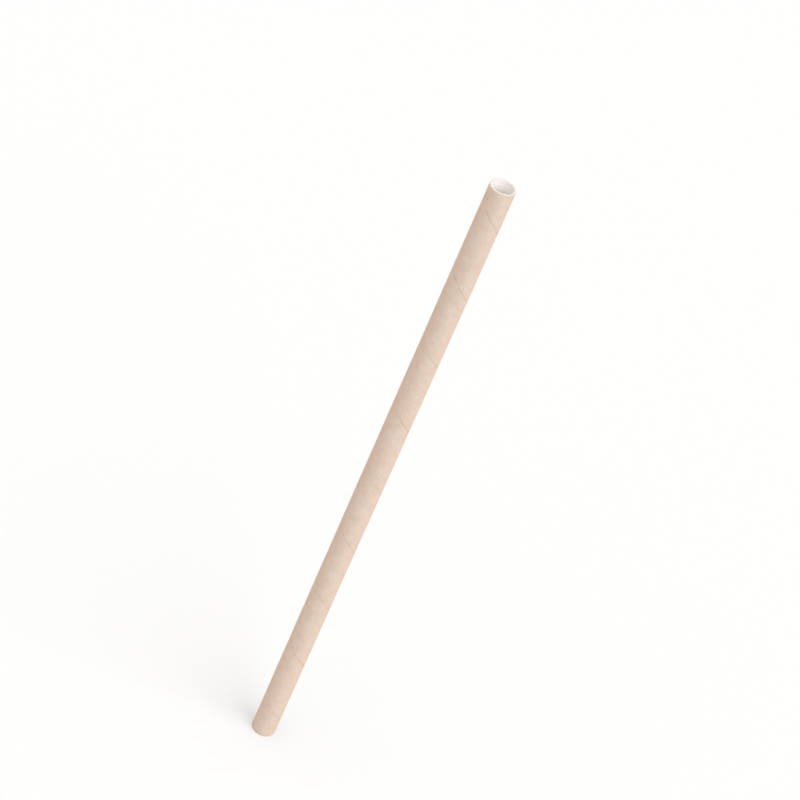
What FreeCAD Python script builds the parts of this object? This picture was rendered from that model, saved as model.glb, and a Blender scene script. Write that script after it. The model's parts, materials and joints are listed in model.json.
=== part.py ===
import FreeCAD, Part
import math
import os

# A straight paper drinking straw: a kraft strip wound edge to edge over a white one.
# It stands on its foot end on z = 0, with its mouth end up. Sizes in mm and degrees.
straw_length = 197.0
outside_diameter = 7.0
kraft_thickness = 0.14
liner_thickness = 0.28
wind_angle = 45.4  # between a strip's edge and the straw's cross-section
seam_width = 0.2  # V between one turn's edge and the next, square to the edges
seam_depth = 0.08
seam_from_mouth = 7.6  # where the kraft seam first crosses the front, which is the -Y side
edge_chamfer = 0.1  # outer corner of each cut end, pressed in by the knife
cutter_overrun = 0.5  # how far the seam cutter reaches past the face it opens

outer_radius = outside_diameter / 2
glue_radius = outer_radius - kraft_thickness
bore_radius = glue_radius - liner_thickness

# one turn of the strip climbs by this much
turn_pitch = math.pi * outside_diameter * math.tan(math.radians(wind_angle))
seam_along_axis = seam_width / math.cos(math.radians(wind_angle))

foot_centre = FreeCAD.Vector(0, 0, 0)
up = FreeCAD.Vector(0, 0, 1)


def chamfered_rod():
    """Full-length rod of the straw's outside, its two end corners chamfered."""
    rod = Part.makeCylinder(outer_radius, straw_length)
    corners = [edge for edge in rod.Edges if edge.isClosed()]
    return rod.makeChamfer(edge_chamfer, corners)


def plain_rod(radius):
    """Full-length rod that a ply is trimmed or hollowed with."""
    return Part.makeCylinder(radius, straw_length)


def seam_cutter(face_radius, outwards, crossing):
    """Left-hand helical V that opens the face at `face_radius`.

    `outwards` is 1 for a face that looks away from the axis, -1 for the bore.
    The V crosses the front at `crossing`, counted up from the foot.
    """
    turns_below = math.ceil(crossing / turn_pitch) + 1
    turns_above = math.ceil((straw_length - crossing) / turn_pitch) + 1
    height = (turns_below + turns_above) * turn_pitch
    helix = Part.makeLongHelix(turn_pitch, height, face_radius, 0, True)
    root = face_radius - outwards * seam_depth
    mouth = face_radius + outwards * cutter_overrun
    half = seam_along_axis / 2 * (seam_depth + cutter_overrun) / seam_depth
    corners = [(root, 0), (mouth, -half), (mouth, half), (root, 0)]
    section = Part.makePolygon([FreeCAD.Vector(radius, 0, rise) for radius, rise in corners])
    cutter = Part.Wire(helix).makePipeShell([section], True, True)
    # the helix starts on +X, a quarter turn past the front
    cutter.rotate(foot_centre, up, -90)
    cutter.translate(up * (crossing - turns_below * turn_pitch))
    return cutter


def kraft_ply(crossing):
    """Outer ply, its butt seam open on the outside."""
    tube = chamfered_rod().cut(plain_rod(glue_radius))
    return tube.cut(seam_cutter(outer_radius, 1, crossing))


def liner_ply(crossing):
    """White inner ply, glued face to face inside the kraft one, its seam open to the bore."""
    tube = chamfered_rod().common(plain_rod(glue_radius)).cut(plain_rod(bore_radius))
    return tube.cut(seam_cutter(bore_radius, -1, crossing))


# the kraft strip's middle covers the liner's seam, half a turn from its own
kraft_crossing = straw_length - seam_from_mouth
liner_crossing = kraft_crossing - turn_pitch / 2

nodes = {
    "kraft_outer_ply": kraft_ply(kraft_crossing),
    "white_liner_ply": liner_ply(liner_crossing),
}

os.makedirs("parts", exist_ok=True)
for name, shape in nodes.items():
    shape.exportStep(os.path.join("parts", name + ".step"))
    print(name, "valid", shape.isValid(), "solids", len(shape.Solids), "mm3", round(shape.Volume, 2))
print("turn pitch", round(turn_pitch, 2), "bore radius", round(bore_radius, 3))
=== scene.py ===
import json
import math
import bmesh
import bpy
from mathutils import Matrix, Vector, noise


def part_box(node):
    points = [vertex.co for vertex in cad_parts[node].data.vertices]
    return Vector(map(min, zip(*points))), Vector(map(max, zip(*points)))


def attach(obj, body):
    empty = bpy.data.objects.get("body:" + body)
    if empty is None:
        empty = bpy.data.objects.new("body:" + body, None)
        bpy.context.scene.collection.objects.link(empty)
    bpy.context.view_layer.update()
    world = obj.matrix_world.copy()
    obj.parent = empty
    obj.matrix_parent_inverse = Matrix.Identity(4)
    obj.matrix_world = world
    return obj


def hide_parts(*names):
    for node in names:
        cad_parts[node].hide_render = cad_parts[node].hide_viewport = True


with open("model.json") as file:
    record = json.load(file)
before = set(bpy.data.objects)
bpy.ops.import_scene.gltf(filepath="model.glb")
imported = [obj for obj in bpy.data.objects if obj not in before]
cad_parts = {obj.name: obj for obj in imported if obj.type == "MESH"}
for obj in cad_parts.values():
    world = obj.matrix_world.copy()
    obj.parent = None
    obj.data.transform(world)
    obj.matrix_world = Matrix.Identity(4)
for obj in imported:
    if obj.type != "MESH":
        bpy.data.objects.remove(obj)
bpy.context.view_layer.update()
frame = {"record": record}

mm = 0.001
tolerance = 0.001 * mm  # for merging points and for cuts

# sizes that both paper strips share; the frame gives what it can
low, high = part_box("kraft_outer_ply")
boreMount = next(m for m in frame["record"]["mounts"] if m["name"] == "drinking_bore")
straw = {
    "length": high.z - low.z,
    "radius": (high.x - low.x) / 2,
    "boreRadius": boreMount["dims"]["r_mm"] * mm,
    "kraftThickness": 0.14 * mm,
    "plyGap": 0.005 * mm,  # keeps the two plies' faces apart
    "windAngle": math.radians(45.4),  # a strip's edge against the straw's cross-section
    "seamFromMouth": 7.6 * mm,  # where the kraft seam first crosses the front
    "seamGap": 0.035 * mm,  # between one turn's edge and the next
    "dent": 0.02 * mm,  # slow unevenness of the wall, always inwards
    "dentSeed": Vector((3.1, 8.7, 0.4)),
    "dentSpread": 1.6,  # more gives more and narrower dents round the wall
    "dentLength": 9 * mm,
    "lipInset": 0.07 * mm,  # the knife presses both cut ends in a little
    "lipHeight": 0.5 * mm,
    "lipLoops": [0.08 * mm, 0.18 * mm, 0.32 * mm, 0.5 * mm],  # extra edge loops behind each cut end
    # how fast a paper edge's unevenness changes, per radian of winding
    "liftRate": 1.7,
    "wanderRate": 3.1,
    "wanderWidth": 0.6 * mm,  # how far from the edge the paper still strays with it
    "wanderFromEnd": 1 * mm,  # the straying fades out towards the cut ends
    "tornRate": (25, 900),  # per radian round the rim, and per metre of height
    "tornDepth": 0.06 * mm,
}
straw["pitch"] = 2 * math.pi * straw["radius"] * math.tan(straw["windAngle"])
straw["glueRadius"] = straw["radius"] - straw["kraftThickness"]


def onlySelect(obj):
    bpy.ops.object.select_all(action="DESELECT")
    obj.select_set(True)
    bpy.context.view_layer.objects.active = obj


# in edit mode: selects the vertices that the test picks, and nothing else
def selectVertices(obj, test):
    bpy.ops.mesh.select_all(action="DESELECT")
    mesh = bmesh.from_edit_mesh(obj.data)
    for vertex in mesh.verts:
        if test(vertex.co):
            vertex.select_set(True)
    mesh.select_flush_mode()
    bmesh.update_edit_mesh(obj.data)


def smoothStep(t):
    t = min(max(t, 0.0), 1.0)
    return t * t * (3 - 2 * t)


# camera: it sees the upright straw in the place, size and slant that the photograph gives it
view = {
    "imageSide": 800,
    "focalPixels": 2840,
    "sensor": 36.0,
    "mouthPixel": (503.2, 187.0),
    "footPixel": (263.4, 727.4),
    "mouthWidth": 29.2,  # the straw's width in the picture at either end, in pixels
    "footWidth": 24.95,
}


def rayThrough(pixel):
    half = view["imageSide"] / 2
    x, y = pixel
    return Vector(((x - half) / view["focalPixels"], (half - y) / view["focalPixels"], -1))


def addCamera():
    mouthRay = rayThrough(view["mouthPixel"])
    footRay = rayThrough(view["footPixel"]) * (view["mouthWidth"] / view["footWidth"])
    depth = straw["length"] / (mouthRay - footRay).length
    mouth, foot = mouthRay * depth, footRay * depth
    along = (mouth - foot).normalized()  # the straw's axis, foot to mouth, as the camera sees it
    towards = -(mouth + foot).normalized()
    front = (towards - along * towards.dot(along)).normalized()
    turn = Matrix((along.cross(front), -front, along))  # camera axes to the straw's axes
    data = bpy.data.cameras.new("camera")
    data.sensor_width = view["sensor"]
    data.lens = view["focalPixels"] * view["sensor"] / view["imageSide"]
    data.clip_start = 0.01
    camera = bpy.data.objects.new("camera", data)
    camera.matrix_world = Matrix.Translation(-(turn @ foot)) @ turn.to_4x4()
    bpy.context.collection.objects.link(camera)
    bpy.context.scene.camera = camera
    print("camera placed", [round(v, 3) for v in camera.matrix_world.translation])


addCamera()


# small helpers for node trees
def newMaterial(name):
    material = bpy.data.materials.new(name)
    material.use_nodes = True
    return material, material.node_tree, material.node_tree.nodes["Principled BSDF"]


def addNode(tree, kind, **values):
    node = tree.nodes.new("ShaderNode" + kind)
    for key, value in values.items():
        if key in node.inputs:
            node.inputs[key].default_value = value
        else:
            setattr(node, key, value)
    return node


def scaledCoordinates(tree, source, stretch):
    mapping = addNode(tree, "Mapping")
    mapping.inputs["Scale"].default_value = (*stretch, 1.0)
    tree.links.new(source, mapping.inputs["Vector"])
    return mapping.outputs["Vector"]


def remap(tree, value, fromLow, fromHigh, toLow, toHigh, kind="LINEAR"):
    node = addNode(tree, "MapRange", interpolation_type=kind)
    limits = {"From Min": fromLow, "From Max": fromHigh, "To Min": toLow, "To Max": toHigh}
    for key, number in limits.items():
        node.inputs[key].default_value = number
    tree.links.new(value, node.inputs["Value"])
    return node.outputs["Result"]


def combine(tree, operation, first, second):
    node = addNode(tree, "Math", operation=operation)
    for socket, value in zip(node.inputs, (first, second)):
        if isinstance(value, (int, float)):
            socket.default_value = value
        else:
            tree.links.new(value, socket)
    return node.outputs["Value"]


def blendColor(tree, share, under, over):
    node = addNode(tree, "Mix", data_type="RGBA")
    for socket, value in ((node.inputs[0], share), (node.inputs[6], under), (node.inputs[7], over)):
        if isinstance(value, bpy.types.NodeSocket):
            tree.links.new(value, socket)
        elif isinstance(value, tuple):
            socket.default_value = (*value, 1)
        else:
            socket.default_value = value
    return node.outputs[2]


def tone(hexColor):
    parts = [int(hexColor[i:i + 2], 16) / 255 for i in (0, 2, 4)]
    return tuple(c / 12.92 if c <= 0.04045 else ((c + 0.055) / 1.055) ** 2.4 for c in parts)


# kraft paper: warm beige, cloudy, with fibres that lie along the strip
kraftLook = {
    "color": "d3c2b6",
    "cloudDark": "cbb8a8",
    "cloudLight": "d9cbc0",
    "fibreDark": "c4a48a",
    "fleck": "8f6a4c",
    "paleFleck": "eaddd1",
    # across and along stretch, size, rarity, strength and colour of each kind of fleck
    "flecks": (((1.3, 0.3), 0.09, 0.85, 0.65, "fleck"), ((0.8, 0.5), 0.06, 0.75, 0.6, "fleck"),
               ((2.6, 0.5), 0.14, 0.6, 0.5, "fibreDark"), ((2.2, 0.4), 0.14, 0.6, 0.5, "paleFleck")),
    "edge": "b0927a",
    "cut": "c8bbb0",
    "cutPale": "dccfc4",
    "edgeDarkening": (0.22, 0.04, 0.45),  # starts and is full so many mm off the edge, and its strength
    "cloudScale": 420.0,
    "speckScale": 1500.0,
    "fibreStretch": (5.5, 0.55),  # across and along the strip
    "wispStretch": (1.3, 0.22),
    "fuzz": "e3ae80",
    "fuzzWeight": 0.5,
    "fuzzSpread": 0.6,
    "gloss": 0.2,
    "roughness": 0.72,
    "grain": 0.02 * mm,
}
linerLook = {
    "color": "f7f2ef",
    "cloud": "f0e9e5",
    "cut": "d3cac3",
    "cutPale": "e6dcd5",
    "cloudScale": 500.0,
    "fibreStretch": (5.0, 0.7),
    "roughness": 0.6,
    "grain": 0.015 * mm,
}


def kraftFace():
    material, tree, shader = newMaterial("kraftFace")
    look = kraftLook
    place = addNode(tree, "TexCoord").outputs["Object"]
    paper = addNode(tree, "UVMap", uv_map="paper").outputs["UV"]
    # clouds of a few millimetres, as pulp settles unevenly
    clouds = addNode(tree, "TexNoise", Scale=look["cloudScale"], Detail=4.0, Roughness=0.55)
    tree.links.new(place, clouds.inputs["Vector"])
    specks = addNode(tree, "TexNoise", Scale=look["speckScale"], Detail=3.0, Roughness=0.6)
    tree.links.new(place, specks.inputs["Vector"])
    # fibres: noise drawn out along the strip
    fibres = addNode(tree, "TexNoise", Scale=1.0, Detail=5.0, Roughness=0.65, Distortion=0.6)
    tree.links.new(scaledCoordinates(tree, paper, look["fibreStretch"]), fibres.inputs["Vector"])
    wisps = addNode(tree, "TexNoise", Scale=1.0, Detail=3.0, Roughness=0.5, Distortion=1.2)
    tree.links.new(scaledCoordinates(tree, paper, look["wispStretch"]), wisps.inputs["Vector"])
    color = blendColor(tree, remap(tree, clouds.outputs["Fac"], 0.35, 0.65, 0.0, 0.8),
                       tone(look["cloudDark"]), tone(look["color"]))
    color = blendColor(tree, remap(tree, specks.outputs["Fac"], 0.5, 0.75, 0.0, 0.5),
                       color, tone(look["cloudLight"]))
    color = blendColor(tree, remap(tree, fibres.outputs["Fac"], 0.52, 0.8, 0.0, 0.55),
                       color, tone(look["fibreDark"]))
    color = blendColor(tree, remap(tree, wisps.outputs["Fac"], 0.5, 0.75, 0.0, 0.4),
                       color, tone(look["cloudLight"]))
    # a few flecks of bark and of bleached fibre
    for stretch, size, rare, share, fleckTone in look["flecks"]:
        cells = addNode(tree, "TexVoronoi", voronoi_dimensions="2D", Scale=1.0, Randomness=1.0)
        tree.links.new(scaledCoordinates(tree, paper, stretch), cells.inputs["Vector"])
        chance = addNode(tree, "SeparateColor")
        tree.links.new(cells.outputs["Color"], chance.inputs["Color"])
        reach = remap(tree, chance.outputs["Red"], rare, 1.0, 0.0, size)
        spots = combine(tree, "SUBTRACT", reach, cells.outputs["Distance"])
        spots = remap(tree, spots, 0.0, size * 0.5, 0.0, share, "SMOOTHSTEP")
        color = blendColor(tree, spots, color, tone(look[fleckTone]))
    # the strip's two long edges are a little darker, unevenly
    across = addNode(tree, "SeparateXYZ")
    tree.links.new(paper, across.inputs["Vector"])
    width = straw["pitch"] / mm * math.cos(straw["windAngle"])
    fromMiddle = combine(tree, "ABSOLUTE", combine(tree, "SUBTRACT", across.outputs["X"], width / 2), 0.0)
    edgeNoise = addNode(tree, "TexNoise", Scale=1.0, Detail=2.0)
    tree.links.new(scaledCoordinates(tree, paper, (0.2, 0.5)), edgeNoise.inputs["Vector"])
    begins, full, strength = look["edgeDarkening"]
    edge = remap(tree, fromMiddle, width / 2 - begins, width / 2 - full, 0.0, 1.0, "SMOOTHSTEP")
    uneven = remap(tree, edgeNoise.outputs["Fac"], 0.35, 0.65, 0.0, strength)
    edge = combine(tree, "MULTIPLY", edge, uneven)
    color = blendColor(tree, edge, color, tone(look["edge"]))
    tree.links.new(color, shader.inputs["Base Color"])
    dull, smooth = look["roughness"] + 0.08, look["roughness"] - 0.06
    rough = remap(tree, clouds.outputs["Fac"], 0.3, 0.7, dull, smooth)
    tree.links.new(rough, shader.inputs["Roughness"])
    shader.inputs["Specular IOR Level"].default_value = look["gloss"]
    shader.inputs["Sheen Weight"].default_value = look["fuzzWeight"]
    shader.inputs["Sheen Roughness"].default_value = look["fuzzSpread"]
    shader.inputs["Sheen Tint"].default_value = (*tone(look["fuzz"]), 1)
    # relief: fibres and fine grain
    raised = combine(tree, "MULTIPLY", fibres.outputs["Fac"], 1.2)
    relief = combine(tree, "ADD", raised, specks.outputs["Fac"])
    bump = addNode(tree, "Bump", Strength=0.5, Distance=look["grain"])
    tree.links.new(relief, bump.inputs["Height"])
    tree.links.new(bump.outputs["Normal"], shader.inputs["Normal"])
    return material


def linerFace():
    material, tree, shader = newMaterial("linerFace")
    look = linerLook
    place = addNode(tree, "TexCoord").outputs["Object"]
    paper = addNode(tree, "UVMap", uv_map="paper").outputs["UV"]
    clouds = addNode(tree, "TexNoise", Scale=look["cloudScale"], Detail=4.0, Roughness=0.5)
    tree.links.new(place, clouds.inputs["Vector"])
    fibres = addNode(tree, "TexNoise", Scale=1.0, Detail=4.0, Roughness=0.6, Distortion=0.5)
    tree.links.new(scaledCoordinates(tree, paper, look["fibreStretch"]), fibres.inputs["Vector"])
    color = blendColor(tree, remap(tree, clouds.outputs["Fac"], 0.4, 0.7, 0.0, 0.8),
                       tone(look["color"]), tone(look["cloud"]))
    color = blendColor(tree, remap(tree, fibres.outputs["Fac"], 0.5, 0.8, 0.0, 0.4),
                       color, tone(look["cloud"]))
    tree.links.new(color, shader.inputs["Base Color"])
    rough = remap(tree, fibres.outputs["Fac"], 0.3, 0.7, look["roughness"] - 0.05, look["roughness"] + 0.1)
    tree.links.new(rough, shader.inputs["Roughness"])
    bump = addNode(tree, "Bump", Strength=0.5, Distance=look["grain"])
    tree.links.new(fibres.outputs["Fac"], bump.inputs["Height"])
    tree.links.new(bump.outputs["Normal"], shader.inputs["Normal"])
    return material


# the cut edge of a strip: pale torn fibres
def cutEdge(name, look):
    material, tree, shader = newMaterial(name)
    place = addNode(tree, "TexCoord").outputs["Object"]
    tufts = addNode(tree, "TexNoise", Scale=5200.0, Detail=3.0, Roughness=0.7)
    tree.links.new(place, tufts.inputs["Vector"])
    color = blendColor(tree, remap(tree, tufts.outputs["Fac"], 0.35, 0.7, 0.0, 0.7),
                       tone(look["cut"]), tone(look["cutPale"]))
    tree.links.new(color, shader.inputs["Base Color"])
    tree.links.new(remap(tree, tufts.outputs["Fac"], 0.3, 0.7, 0.95, 0.8), shader.inputs["Roughness"])
    bump = addNode(tree, "Bump", Strength=0.7, Distance=look["grain"])
    tree.links.new(tufts.outputs["Fac"], bump.inputs["Height"])
    tree.links.new(bump.outputs["Normal"], shader.inputs["Normal"])
    return material


kraftStrip = {
    "name": "kraftStrip",
    "outerRadius": straw["radius"],
    "innerRadius": straw["glueRadius"],
    "seamHeight": straw["length"] - straw["seamFromMouth"],
    "cuts": 27,  # across the strip
    "segments": 84,  # round one turn
    "edgeBevel": 0.02 * mm,
    "lift": 0.015 * mm,  # how far the edge on the mouth's side stands up at most
    "liftWidth": 1.4 * mm,
    "wander": 0.02 * mm,  # and how far it strays along the straw
    "fray": 0.02 * mm,
    "materials": (kraftFace, lambda: cutEdge("kraftCut", kraftLook)),
}
linerStrip = {
    "name": "linerStrip",
    "outerRadius": straw["glueRadius"] - kraftStrip["lift"] - straw["plyGap"],
    "innerRadius": straw["boreRadius"],
    "seamHeight": straw["length"] - straw["seamFromMouth"] - straw["pitch"] / 2,
    "cuts": 23,
    "segments": 64,
    "edgeBevel": 0.02 * mm,
    "lift": 0.0,
    "liftWidth": 1.0 * mm,
    "wander": 0.02 * mm,
    "fray": 0.025 * mm,
    "materials": (linerFace, lambda: cutEdge("linerCut", linerLook)),
}


# turn angle counted on along the strip from the front, and height below its mouth-side edge
def stripPlace(x, y, z, strip):
    angle = math.atan2(x, -y)
    turns = (z - strip["seamHeight"]) / straw["pitch"] + angle / (2 * math.pi)
    whole = math.floor(turns)
    return angle - 2 * math.pi * whole, (1 - (turns - whole)) * straw["pitch"]


# both plies follow the same wall, so they stay face to face
def wallChange(x, y, z):
    angle = math.atan2(x, -y)
    spread = straw["dentSpread"]
    spot = Vector((math.sin(angle) * spread, math.cos(angle) * spread, z / straw["dentLength"]))
    change = -straw["dent"] * (0.5 + noise.noise(spot + straw["dentSeed"]))
    fromEnd = min(z, straw["length"] - z)
    return change - straw["lipInset"] * (1 - smoothStep(fromEnd / straw["lipHeight"]))


def shapeWall(obj, strip):
    tornRound, tornUp = straw["tornRate"]
    for vertex in obj.data.vertices:
        x, y, z = vertex.co
        radius = math.hypot(x, y)
        angle, fromEdge = stripPlace(x, y, z, strip)
        fromEnd = min(z, straw["length"] - z)
        change = wallChange(x, y, z) - strip["lift"]
        uneven = noise.noise(Vector((angle * straw["liftRate"], 4.0, 0.0)))
        nearLift = 1 - smoothStep(fromEdge / strip["liftWidth"])
        change += strip["lift"] * smoothStep(0.5 + uneven) * nearLift
        scale = (radius + change) / radius
        vertex.co.x, vertex.co.y = x * scale, y * scale
        stray = strip["wander"] * noise.noise(Vector((angle * straw["wanderRate"], 9.0, 0.0)))
        nearEdge = 1 - smoothStep(fromEdge / straw["wanderWidth"])
        vertex.co.z += stray * nearEdge * smoothStep(fromEnd / straw["wanderFromEnd"])
        torn = strip["fray"] * abs(noise.noise(Vector((angle * tornRound, z * tornUp, 1.0))))
        torn *= 1 - smoothStep(fromEnd / straw["tornDepth"])
        vertex.co.z += torn if z < straw["length"] / 2 else -torn
    obj.data.update()


# UV in millimetres of paper: across the strip, and along it
def mapStrip(obj, strip):
    layer = obj.data.uv_layers.new(name="paper")
    sine, cosine = math.sin(straw["windAngle"]), math.cos(straw["windAngle"])
    for loop in obj.data.loops:
        x, y, z = obj.data.vertices[loop.vertex_index].co
        angle, fromEdge = stripPlace(x, y, z, strip)
        around = angle * straw["radius"] / mm
        layer.data[loop.index].uv = (fromEdge / mm * cosine, around * cosine - z / mm * sine)


# marks the corners of the two long paper edges, which the bevel then rounds
def weighSeamCorners(obj, strip):
    obj.data.attributes.new("bevel_weight_edge", "FLOAT", "EDGE")
    mesh = bmesh.new()
    mesh.from_mesh(obj.data)
    weight = mesh.edges.layers.float["bevel_weight_edge"]
    reach = straw["seamGap"] + 0.01 * mm
    square = math.radians(60)  # corners sharper than this are square
    onEdge = {}
    for vertex in mesh.verts:
        fromEdge = stripPlace(*vertex.co, strip)[1]
        onEdge[vertex] = min(fromEdge, straw["pitch"] - fromEdge) < reach
    for edge in mesh.edges:
        if onEdge[edge.verts[0]] and onEdge[edge.verts[1]] and edge.calc_face_angle(0) > square:
            edge[weight] = 1.0
    mesh.to_mesh(obj.data)
    mesh.free()


def cutAt(height, upwards, clear):
    bpy.ops.mesh.select_all(action="SELECT")
    bpy.ops.mesh.bisect(plane_co=(0, 0, height), plane_no=(0, 0, upwards), clear_outer=clear,
                        threshold=tolerance)


# a line across the paper, screwed round the axis, cut square at both ends and thickened
def windStrip(strip):
    width = straw["pitch"] - straw["seamGap"] / math.cos(straw["windAngle"])
    bpy.ops.object.select_all(action="DESELECT")
    bpy.ops.mesh.primitive_plane_add(size=width, rotation=(math.pi / 2, 0, 0))
    obj = bpy.context.object
    obj.name = obj.data.name = strip["name"]
    onlySelect(obj)
    bpy.ops.object.transform_apply(location=True, rotation=True, scale=True)
    for make in strip["materials"]:
        obj.data.materials.append(make())
    bpy.ops.object.mode_set(mode="EDIT")
    selectVertices(obj, lambda place: place.x < 0)
    bpy.ops.mesh.delete(type="VERT")
    bpy.ops.mesh.select_all(action="SELECT")
    bpy.ops.mesh.subdivide(number_cuts=strip["cuts"])
    # the points crowd towards the two paper edges, where the shape is finest
    mesh = bmesh.from_edit_mesh(obj.data)
    for vertex in mesh.verts:
        vertex.co.z = width / 2 * math.sin(math.pi / 2 * vertex.co.z / (width / 2))
    bmesh.update_edit_mesh(obj.data)
    # the line starts at the front, below the foot, with one edge on the seam
    turnsBelow = math.ceil(strip["seamHeight"] / straw["pitch"]) + 1
    start = strip["seamHeight"] - (turnsBelow - 0.5) * straw["pitch"]
    bpy.ops.mesh.select_all(action="SELECT")
    bpy.ops.transform.translate(value=(-width / 2, -strip["outerRadius"], start))
    bpy.ops.object.mode_set(mode="OBJECT")
    screw = obj.modifiers.new("wind", "SCREW")
    screw.axis = "Z"
    screw.angle = -2 * math.pi
    screw.screw_offset = straw["pitch"]
    screw.iterations = turnsBelow + 3
    screw.steps = screw.render_steps = strip["segments"]
    onlySelect(obj)
    bpy.ops.object.modifier_apply(modifier="wind")
    bpy.ops.object.mode_set(mode="EDIT")
    bpy.ops.mesh.select_all(action="SELECT")
    bpy.ops.mesh.remove_doubles(threshold=tolerance)
    cutAt(straw["length"], 1, True)
    cutAt(0, -1, True)
    for step in straw["lipLoops"]:
        cutAt(straw["length"] - step, 1, False)
        cutAt(step, -1, False)
    bpy.ops.mesh.select_all(action="SELECT")
    bpy.ops.mesh.normals_make_consistent(inside=False)
    bpy.ops.object.mode_set(mode="OBJECT")
    thick = obj.modifiers.new("paper", "SOLIDIFY")
    thick.thickness = strip["outerRadius"] - strip["innerRadius"]
    thick.offset = -1
    thick.use_even_offset = True
    thick.material_offset_rim = 1
    bpy.ops.object.modifier_apply(modifier="paper")
    weighSeamCorners(obj, strip)
    soft = obj.modifiers.new("edges", "BEVEL")
    soft.width = strip["edgeBevel"]
    soft.segments = 2
    soft.limit_method = "WEIGHT"
    soft.use_clamp_overlap = False
    bpy.ops.object.modifier_apply(modifier="edges")
    obj.data.attributes.remove(obj.data.attributes["bevel_weight_edge"])
    mapStrip(obj, strip)
    shapeWall(obj, strip)
    bpy.ops.object.shade_smooth_by_angle(angle=math.radians(50))
    print(strip["name"], "wound,", len(obj.data.polygons), "faces")
    return obj


kraft = windStrip(kraftStrip)
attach(kraft, "root")
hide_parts("kraft_outer_ply")
liner = windStrip(linerStrip)
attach(liner, "root")
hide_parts("white_liner_ply")


# floor, backdrop and lamps
studio = {
    "floorSize": 8.0,
    "floorColor": (0.5, 0.5, 0.5),
    "seenFloor": (0.67, 0.67, 0.67),  # for the camera alone
    "whiteShare": 0.3,  # how much of the floor the camera sees as plain white
    "skyColor": (1.04, 1.0, 0.96),
    "skyStrength": 0.6,
    # name, azimuth from the front to the right, elevation, level, softness, colour
    "lamps": (
        ("key", 58, 40, 0.65, 60, (0.93, 1.0, 1.06)),
        ("fill", -25, 60, 0.37, 90, (1.04, 1.0, 0.96)),
        ("back", 195, 40, 0.22, 120, (1.0, 1.0, 1.0)),
    ),
}


def addFloor():
    bpy.ops.object.select_all(action="DESELECT")
    bpy.ops.mesh.primitive_plane_add(size=studio["floorSize"], location=(0, 0, 0))
    floor = bpy.context.object
    floor.name = "floor"
    material = bpy.data.materials.new("floorPaper")
    material.use_nodes = True
    tree = material.node_tree
    tree.nodes.clear()
    output = addNode(tree, "OutputMaterial")
    mix = addNode(tree, "MixShader")
    diffuse = addNode(tree, "BsdfDiffuse")
    white = addNode(tree, "Emission")
    path = addNode(tree, "LightPath")
    color = blendColor(tree, path.outputs["Is Camera Ray"], studio["floorColor"], studio["seenFloor"])
    tree.links.new(color, diffuse.inputs["Color"])
    share = combine(tree, "MULTIPLY", path.outputs["Is Camera Ray"], studio["whiteShare"])
    tree.links.new(share, mix.inputs[0])
    tree.links.new(diffuse.outputs[0], mix.inputs[1])
    tree.links.new(white.outputs[0], mix.inputs[2])
    tree.links.new(mix.outputs[0], output.inputs["Surface"])
    floor.data.materials.append(material)


def addSky():
    world = bpy.data.worlds.new("studio")
    bpy.context.scene.world = world
    world.use_nodes = True
    tree = world.node_tree
    back = tree.nodes["Background"]
    path = addNode(tree, "LightPath")
    level = remap(tree, path.outputs["Is Camera Ray"], 0, 1, studio["skyStrength"], 1.0)
    tree.links.new(level, back.inputs["Strength"])
    color = blendColor(tree, path.outputs["Is Camera Ray"], studio["skyColor"], (1.0, 1.0, 1.0))
    tree.links.new(color, back.inputs["Color"])


# a level of 1 shows a surface that faces the lamp in its own colour
def addLamps():
    for name, azimuth, elevation, level, softness, color in studio["lamps"]:
        side, rise = math.radians(azimuth), math.radians(elevation)
        data = bpy.data.lights.new(name, "SUN")
        data.energy = level * math.pi
        data.angle = math.radians(softness)
        data.color = color
        lamp = bpy.data.objects.new(name, data)
        lamp.location = (math.sin(side) * math.cos(rise), -math.cos(side) * math.cos(rise), math.sin(rise))
        lamp.rotation_euler = lamp.location.to_track_quat("Z", "Y").to_euler()
        bpy.context.collection.objects.link(lamp)


addFloor()
addSky()
addLamps()
bpy.context.scene.view_settings.view_transform = "Standard"
print("floor and lamps set")
